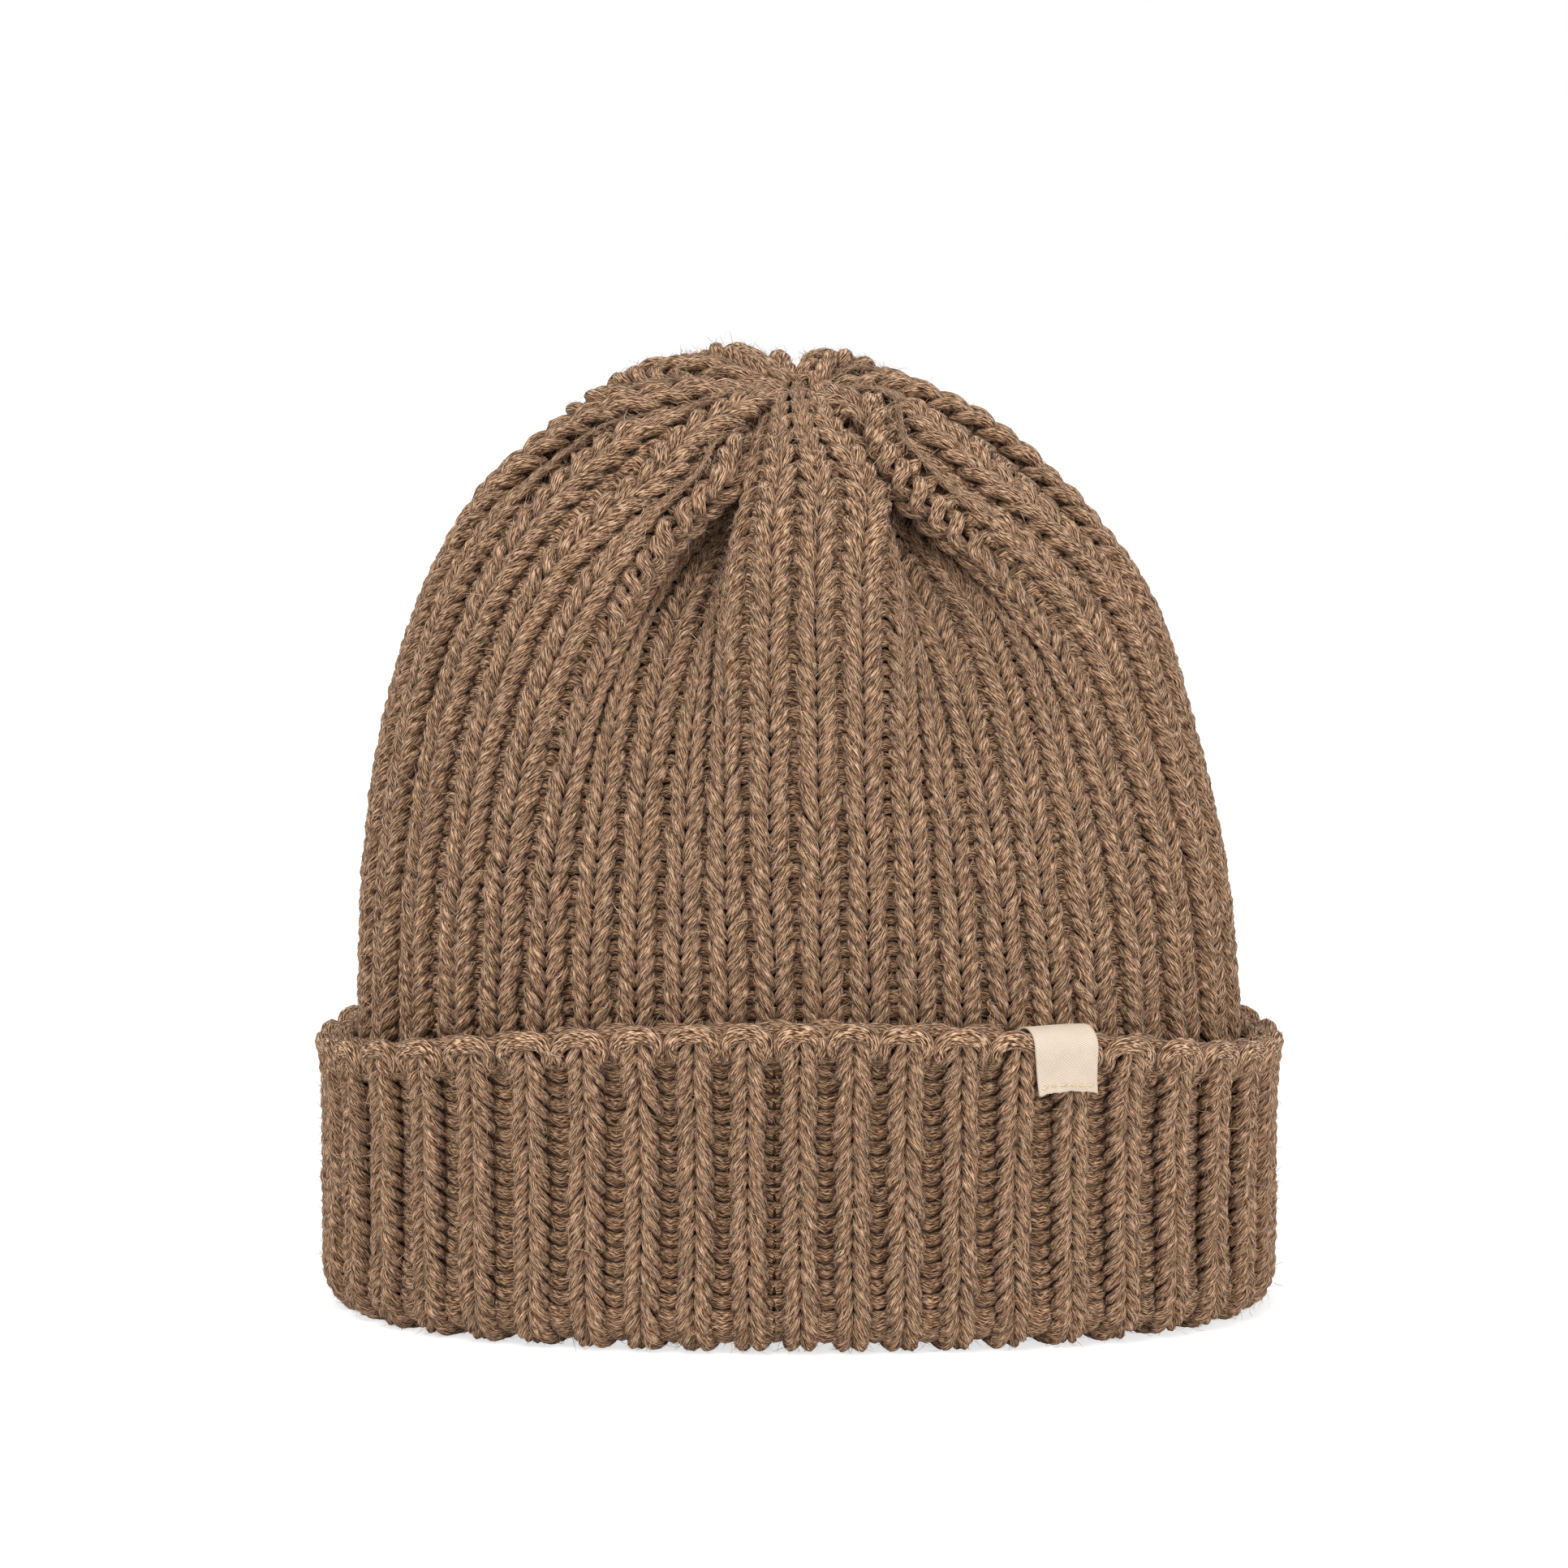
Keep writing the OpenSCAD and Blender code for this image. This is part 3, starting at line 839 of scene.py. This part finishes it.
def body_loops(rows):
    """The loops of the body and the crown: where the rows are tall, so are they."""
    heights = row_height(np.interp(rows, np.arange(len(ROW_RUN)), ROW_RUN))
    tall = (heights - BODY_ROW) / (CROWN_ROW - BODY_ROW)
    loops = [
        loop_template(reach=3.4, leg=1.2 + 0.45 * more, valley=2.4, bar=0.5 * high,
                      climb=1 - 0.22 * more)
        for more, high in zip(tall, heights)
    ]
    return np.stack(loops)[:, None]


def cuff_loops(rows):
    """The cuff's loops, whose grooves fill towards the fold."""
    fills = smooth((rows - CUFF_ROWS + 6) / 9)
    loops = [loop_template(reach=3.3, leg=1.14, valley=3.0 - 1.5 * fill, bar=1.8) for fill in fills]
    return np.stack(loops)[:, None]


ALL_RIBS = np.arange(RIBS)
START_RUN = float(np.interp(GORE_START, ARC_S, ARC_RUN))
FIRST_CROWN_ROW = int(np.searchsorted(ROW_RUN, START_RUN))
BODY_ROWS = np.arange(-3, FIRST_CROWN_ROW)       # from a few rows behind the cuff
CROWN_ROWS = np.arange(FIRST_CROWN_ROW, len(ROW_RUN) - 2)
BODY_HALVES = {"front": ALL_RIBS[:23] - 11, "back": ALL_RIBS[23:] - 11}
CUFF_PARTS = {"cuff": np.arange(CUFF_ROWS), "cuff_fold": CUFF_ROWS + np.arange(6)}
GORE_NODES = [
    "crown_front", "crown_left_front", "crown_left_back", "crown_right_back",
    "crown_right_front",
]


def body_knit(name, node, ribs, rows):
    piece = knit(name, body_place, ribs, rows, body_loops(rows), BODY_SQUEEZE)
    dress(piece, "yarn", BODY_WOOL_PAINTED_DARKER, node)


for half_name, ribs in BODY_HALVES.items():
    body_knit("body_" + half_name + "_knit", "body", ribs, BODY_ROWS)
for gore, node in enumerate(GORE_NODES):
    ribs = sum(GORE_RIBS[:gore]) + FIRST_RIB + np.arange(GORE_RIBS[gore])
    body_knit(node + "_knit", node, ribs, CROWN_ROWS)
for node, rows in CUFF_PARTS.items():
    piece = knit(node + "_knit", cuff_at, ALL_RIBS, rows, cuff_loops(rows), CUFF_SQUEEZE)
    dress(piece, "yarn", WOOL, node)


# ---- cast-on edge -----------------------------------------------------------
# Half of the cast-on's arch over the head of a rib: share of the rib's pitch,
# mm across, mm up, mm in from the face, half width and half thickness
HALF_ARCH = np.array([
    (0.5, 0.0, -4.6, 4.6, 1.2, 1.1),
    (0.0, 4.4, -3.6, 3.1, 1.5, 1.4),
    (0.0, 4.8, -0.8, 1.9, 1.8, 1.7),
    (0.0, 2.9, 1.4, 1.5, 2.1, 1.9),
])
ARCH_TOP = [(0.0, 0.0, 1.8, 1.4, 2.2, 1.9)]


def label_turn():
    """The turn around the knit at which the cuff's outer face reaches LABEL_X."""
    turns = np.linspace(0, 90, 901)
    return float(np.interp(LABEL_X, cuff_point(turns, CUFF_H, CUFF_OUT)[:, 0], turns))


LABEL_TURN = label_turn()
LABEL_Z = edge_z(LABEL_TURN)
MM_A_TURN = float(np.linalg.norm(
    cuff_point(LABEL_TURN + 1, LABEL_Z, CUFF_OUT) - cuff_point(LABEL_TURN - 1, LABEL_Z, CUFF_OUT)
)) / 2


def pressed(rib):
    """How far the label's ribbon presses the cuff's edge in there, in mm."""
    away = np.abs(rib * RIB_ANGLE - LABEL_TURN) * MM_A_TURN
    return PRESS * smooth((LABEL_W / 2 + 3 - away) / 2)


def arches(name, first, inner, local):
    """An arch over the head of each rib, on the cuff's outer or inner face."""
    keys = np.vstack([HALF_ARCH * MIRRORED, ARCH_TOP, HALF_ARCH[::-1]])
    part, aside, rise_by, inward, wide, thick = spline(keys, [3] * (len(keys) - 1)).T
    at_rib = (ALL_RIBS + first)[:, None].astype(float)
    pitch = pitch_of(edge_at, at_rib, 0, 0)
    squeeze = np.clip(pitch / ARCH_W, 0.3, 1.08) * (1 + local.normal(0, 0.03, at_rib.shape))
    rib = at_rib + part + (aside + local.normal(0, 0.2, at_rib.shape)) * squeeze / pitch
    up = rise_by + local.normal(0, 0.2, at_rib.shape) - pressed(rib)
    depth = inward + pressed(rib)
    depth = KNIT_T - depth if inner else depth
    line = (a.reshape(1, -1) for a in np.broadcast_arrays(rib, up, depth, wide, thick))
    dress(yarn_mesh(name, edge_at, *line), "yarn", WOOL, "cast_on_edge")


def cast_on_strand():
    """The yarn that goes to and fro along the top between the arches."""
    rib = np.linspace(0, RIBS, RIBS * 12 + 1)[None, :]
    up = 1.5 + 0.3 * waver(rib, 0, 8)
    depth = HALF - 1.0 * np.cos(2 * math.pi * rib)
    thick = np.full(rib.shape, 1.7)
    piece = yarn_mesh("cast_on_strand", edge_at, rib, up, depth, thick, thick)
    dress(piece, "yarn", WOOL, "cast_on_edge")


ARCH_RNG = np.random.default_rng(5)
arches("cast_on_front_loops", 0, False, ARCH_RNG)
arches("cast_on_back_loops", 0.5, True, ARCH_RNG)
cast_on_strand()


# ---- gather and backings ----------------------------------------------------
BACKING_OUT = -1.0       # where the backing lies in the body
BACKING_FOOT = 2         # how far above the ground it starts
CUFF_BACKING = 5.0       # its depth in the cuff
GATHER_BACKING = 2.6     # and in the gather
GATHER_TURNS = 1.35      # of the gathering yarn
GATHER_YARN_R = 1.55     # radius of its middle
AROUND = np.arange(0, RIBS, 0.25)


def shell(name, place, across, along):
    """A plain sheet behind the stitches, over a grid of coordinates, closed across."""
    verts = place(*np.meshgrid(across, along))
    dress(new_mesh(name, verts, ring_faces(len(along), len(across))), "yarn", BACK)


def body_backing(rib, run):
    return body_at(rib, run, BACKING_OUT)


def cuff_backing(rib, row):
    """Round the fold it rises to the body's backing, so that no light passes."""
    meets = FOLD_R - FOLD_MID + BACKING_OUT
    share = smooth((row - CUFF_ROWS) / FOLD_ROWS)
    return cuff_at(rib, row, CUFF_BACKING + (meets - CUFF_BACKING) * share)


def gather_backing(turns, radius):
    return gather_at(turns, radius, GATHER_BACKING)


def gathering_yarn():
    """The yarn that draws the last stitches together, in one round and a bit."""
    turns = np.linspace(0, GATHER_TURNS, 46)[None, :]
    radius = GATHER_YARN_R + 0.12 * np.sin(9 * turns)
    depth = 0.4 + 1.1 * (turns - 0.7) ** 2
    thick = np.full(turns.shape, YARN_D / 2 * 0.93)
    piece = yarn_mesh("gathering_yarn_round", gather_at, turns, radius, depth, thick, thick,
                      sides=12)
    dress(piece, "yarn", WOOL, "gathering_yarn")


shell("body_backing", body_backing, AROUND, np.linspace(-DOME_Z + BACKING_FOOT, DOME_RUN, 90))
shell("cuff_backing", cuff_backing, AROUND, np.linspace(-0.5, CUFF_ROWS + FOLD_ROWS, 60))
shell("gather_backing", gather_backing, np.arange(0, 1, 1 / 24), np.linspace(0.02, 5, 6))


# ---- label ------------------------------------------------------------------
LOOP_ROOM = 0.6          # how much farther out it runs, to clear the loops
STITCH_RUN = 1.75        # from its lower edge up to its stitches
RIBBON_R = HALF + LABEL_GAP + LOOP_ROOM
RIBBON_FRONT = LABEL_H - HALF
RIBBON_L = RIBBON_FRONT + math.pi * RIBBON_R + LABEL_BACK_H - HALF


def ribbon_at(k, run, depth):
    """A point of the label: k from -1 to 1 across it, run up from the lower edge
    of the front flap, and depth in from its middle layer. It narrows and leans a
    little towards that edge, which bows up between its corners."""
    k, run, depth = np.broadcast_arrays(np.asarray(k, float), run, depth)
    bend = np.clip((run - RIBBON_FRONT) / RIBBON_R, 0, math.pi)
    below = np.maximum(RIBBON_FRONT - run, 0)
    behind = np.maximum(run - RIBBON_FRONT - math.pi * RIBBON_R, 0)
    low = below / RIBBON_FRONT
    across = k * LABEL_W / 2 * (1.02 - 0.07 * low) + 0.9 * low
    turn = LABEL_TURN + across / MM_A_TURN
    bow = low**2 * (0.75 * (1 - k**2) + 0.10 * np.sin(9 * k + 1) + 0.06 * np.sin(23 * k))
    dip = 0.10 * np.sin(2.4 * k + 0.6) * np.sin(bend)
    up = (RIBBON_R - depth) * np.sin(bend) - below - behind + bow + dip
    # the front flap sinks a little into the grooves, but not at its top and lower edge
    groove = 1 - np.cos(2 * math.pi * turn / RIB_ANGLE)
    hollow = 0.22 * groove * smooth(low * 2) * smooth(3 - 3 * low)
    out = (RIBBON_R - depth) * np.cos(bend) - hollow
    return cuff_point(turn, LABEL_Z + up, CUFF_IN + HALF + out)


def ribbon():
    """The label as a closed sheet of the ribbon's thickness."""
    k = np.linspace(-1, 1, 41)
    run = np.linspace(0, RIBBON_L, 111)
    section_k = np.concatenate([k, k[::-1]])
    section_depth = np.repeat([-LABEL_T / 2, LABEL_T / 2], len(k))
    verts = ribbon_at(section_k[None, :], run[:, None], section_depth[None, :])
    rings, around = len(run), len(section_k)
    a = np.arange(len(k) - 1)
    cap = np.stack([a, around - 1 - a, around - 2 - a, a + 1], -1)
    ends = cap, cap[:, ::-1] + (rings - 1) * around
    quads = np.concatenate([ring_faces(rings, around), *ends])
    weave = np.stack(np.broadcast_arrays(section_k[None, :] * LABEL_W / 2, run[:, None]), -1)
    return new_mesh("woven_label", verts, quads, weave.reshape(-1, 2)[quads].reshape(-1, 2))


def label_stitches():
    """Short slanting stitches, each out of the ribbon and back in."""
    t = np.linspace(-1, 1, 11)
    middle = (np.arange(LABEL_STITCHES) + 0.5) / LABEL_STITCHES * 2 - 1
    local = np.random.default_rng(11)
    k = middle[:, None] * 0.93 + 0.62 / LABEL_STITCHES * t
    run = STITCH_RUN + 0.22 * t + local.normal(0, 0.06, (LABEL_STITCHES, 1)) + 0 * k
    depth = -LABEL_T / 2 + 0.12 - 0.30 * (1 - t**4) + 0 * k
    wide = np.full(k.shape, THREAD_D / 2)
    return yarn_mesh("label_stitches", ribbon_at, k, run, depth, wide, wide * 0.8)


LABEL = dress(ribbon(), "ribbon", satin_material(), "label")
STITCHES = dress(label_stitches(), "thread", thread_material(), "label_stitching")
gathering_yarn()


# ---- loose fibres -----------------------------------------------------------
STRAY = 0.15            # share of the fibres that stand up
LABEL_MARGIN = 1.5      # round the label, where no fibre starts
FIBRE_STEPS = [0.0, 0.35, 0.7, 1.0]
FIBRE_HALF_WIDTHS = np.array([0.045, 0.05, 0.04, 0.02])


def outward(p):
    """Away from the hat's inside, at points of its surface."""
    up = np.maximum(p[..., 2] - DOME_Z, 0) / DOME_H**2
    n = np.stack([p[..., 0] / MID_A**2, p[..., 1] / MID_B**2, up], -1)
    return n / np.linalg.norm(n, axis=-1, keepdims=True)


def clear_of_label(p):
    """True at points that aren't under the label's front or beside it."""
    low, high = np.array(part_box("label")) / MM
    near = (p > low - LABEL_MARGIN) & (p < high + LABEL_MARGIN)
    return ~(near[..., 0] & near[..., 2] & (p[..., 1] < 0))


def fibre_roots(sources):
    """Points of the yarn that face out: their places, normals, the way the yarn
    runs there, and their depths."""
    found = []
    for source in sources:
        verts, at, below = TUBES[source]
        n = unit(verts - at[..., None, :])
        run = unit(np.gradient(at, axis=1))[..., None, :] + 0 * verts
        seen = ((n * outward(at)[..., None, :]).sum(-1) > 0.3) & clear_of_label(verts)
        found.append([values[seen] for values in (verts, n, run, below)])
    return [np.concatenate(values) for values in zip(*found)]


def loose_fibres(name, sources, count):
    """Fine fibres that lie along the yarn and lift off it, as thin ribbons."""
    roots, normals, runs, depths = fibre_roots(sources)
    local = np.random.default_rng(count)

    def each(low, high):
        return local.uniform(low, high, (count, 1))

    def about_0(size):
        return local.normal(0, size, (count, 1))

    pick = local.integers(0, len(roots), count)
    base, n, run = roots[pick], normals[pick], runs[pick]
    side = np.cross(n, run)
    way = unit(run * local.choice([-1, 1], (count, 1)) + side * about_0(0.50))
    stands = local.random((count, 1)) < STRAY
    length = local.exponential(1.2, (count, 1)) + 1.0
    length = np.clip(np.where(stands, 0.6 * length, length), 0.6, 4)
    lift = np.where(stands, each(0.25, 0.75), each(0.03, 0.12))
    curl, wave = about_0(0.22), about_0(0.10)
    base = base + way * length * each(-0.5, 0.5)
    points = []
    for t in FIBRE_STEPS:
        up = 0.10 + length * lift * t
        aside = length * (curl * t * t + wave * math.sin(5 * t))
        points.append(base + way * length * t + n * up + side * aside)
    points = np.stack(points, 1)
    points[..., 2] = np.maximum(points[..., 2], 0.1)
    flat = unit(np.cross(np.gradient(points, axis=1), n[:, None, :])) * FIBRE_HALF_WIDTHS[:, None]
    verts = np.stack([points - flat, points + flat], 2)
    per = 2 * len(FIBRE_STEPS)
    first = np.add.outer(np.arange(count) * per, np.arange(len(FIBRE_STEPS) - 1) * 2)
    quads = np.stack([first, first + 1, first + 3, first + 2], -1).reshape(-1, 4)
    tone = np.repeat(local.uniform(0, 500, count), per)
    uv = np.stack([tone, np.repeat(depths[pick], per)], -1)[quads].reshape(-1, 2)
    dress(new_mesh(name, verts, quads, uv), "yarn", FIBRE)


loose_fibres("fibres_body", ["body_front_knit", "body_back_knit"], 60000)
loose_fibres("fibres_crown", [node + "_knit" for node in GORE_NODES], 45000)
loose_fibres("fibres_cuff", ["cuff_knit", "cuff_fold_knit", "cast_on_front_loops"], 60000)


# ---- studio -----------------------------------------------------------------
FRAME_W = 357 * MM      # what the picture takes in, across, at the hat's middle
VIEW_FROM = 1.5         # metres
VIEW_TILT = math.radians(6.5)
VIEW_AIM = Vector((-3.5, 0, 118)) * MM
SURROUND = 0.55         # strength of the soft light from all round

# Name, place, target, size and power, in metres and watts
LIGHTS = [
    ("top", (-0.5, -0.9, 1.6), (0, 0, 0.1), 1.2, 19.5),
    ("fill", (1.2, -1.3, 0.4), (0, 0, 0.06), 1.0, 9.5),
    ("back", (0.4, 1.5, 1.1), (0, 0, 0.1), 1.2, 15),
]

scene.view_settings.view_transform = "Standard"


def empty_tree(owner):
    owner.use_nodes = True
    owner.node_tree.nodes.clear()
    return owner.node_tree


def to_camera(tree, others, seen, output):
    """Ends a tree in one shader for what the camera sees, and others for the rest."""
    path = add(tree, "LightPath")
    mix = add(tree, "MixShader")
    tree.links.new(path.outputs["Is Camera Ray"], mix.inputs["Fac"])
    tree.links.new(others, mix.inputs[1])
    tree.links.new(seen, mix.inputs[2])
    tree.links.new(mix.outputs["Shader"], add(tree, output).inputs["Surface"])


def studio():
    """Soft light from all round, and white behind the hat."""
    world = bpy.data.worlds.new("studio")
    scene.world = world
    tree = empty_tree(world)
    soft = add(tree, "Background", Color=(1, 1, 1, 1), Strength=SURROUND)
    white = add(tree, "Background", Color=(1, 1, 1, 1), Strength=1.0)
    to_camera(tree, soft.outputs["Background"], white.outputs["Background"], "OutputWorld")


def area_light(name, place, target, size, power):
    light = bpy.data.lights.new(name, "AREA")
    light.shape = "DISK"
    light.size = size
    light.energy = power
    obj = bpy.data.objects.new(name, light)
    scene.collection.objects.link(obj)
    obj.location = place
    obj.rotation_euler = (Vector(target) - Vector(place)).to_track_quat("-Z", "Y").to_euler()


def camera():
    """Looks along +Y and a little down, with the hat across two thirds of the frame."""
    data = bpy.data.cameras.new("camera")
    obj = bpy.data.objects.new("camera", data)
    scene.collection.objects.link(obj)
    data.sensor_width = 36
    data.lens = data.sensor_width * VIEW_FROM / FRAME_W
    data.clip_end = 20
    obj.location = VIEW_AIM + VIEW_FROM * Vector((0, -math.cos(VIEW_TILT), math.sin(VIEW_TILT)))
    obj.rotation_euler = (math.pi / 2 - VIEW_TILT, 0, 0)
    scene.camera = obj


def floor_material():
    """Pale to the camera, so that it runs into the background, but for the hat's shadow."""
    mat = bpy.data.materials.new("floor")
    tree = empty_tree(mat)
    plain = add(tree, "BsdfDiffuse", Color=(0.88, 0.88, 0.88, 1))
    seen = add(tree, "BsdfDiffuse", Color=(0.45, 0.45, 0.45, 1))
    away = add(tree, "VectorMath")
    away.operation = "LENGTH"
    tree.links.new(add(tree, "TexCoord").outputs["Object"], away.inputs[0])
    far = add(tree, "MapRange", From_Min=0.25, From_Max=0.9, To_Min=0.72, To_Max=1.0)
    tree.links.new(away.outputs["Value"], far.inputs["Value"])
    glow = add(tree, "Emission")
    tree.links.new(far.outputs["Result"], glow.inputs["Strength"])
    both = add(tree, "AddShader")
    tree.links.new(seen.outputs["BSDF"], both.inputs[0])
    tree.links.new(glow.outputs["Emission"], both.inputs[1])
    to_camera(tree, plain.outputs["BSDF"], both.outputs["Shader"], "OutputMaterial")
    return mat


def floor():
    mesh = bpy.data.meshes.new("floor")
    mesh.from_pydata([(-4, -4, 0), (4, -4, 0), (4, 4, 0), (-4, 4, 0)], [], [(0, 1, 2, 3)])
    obj = bpy.data.objects.new("floor", mesh)
    scene.collection.objects.link(obj)
    obj.data.materials.append(floor_material())


studio()
for light in LIGHTS:
    area_light(*light)
camera()
floor()
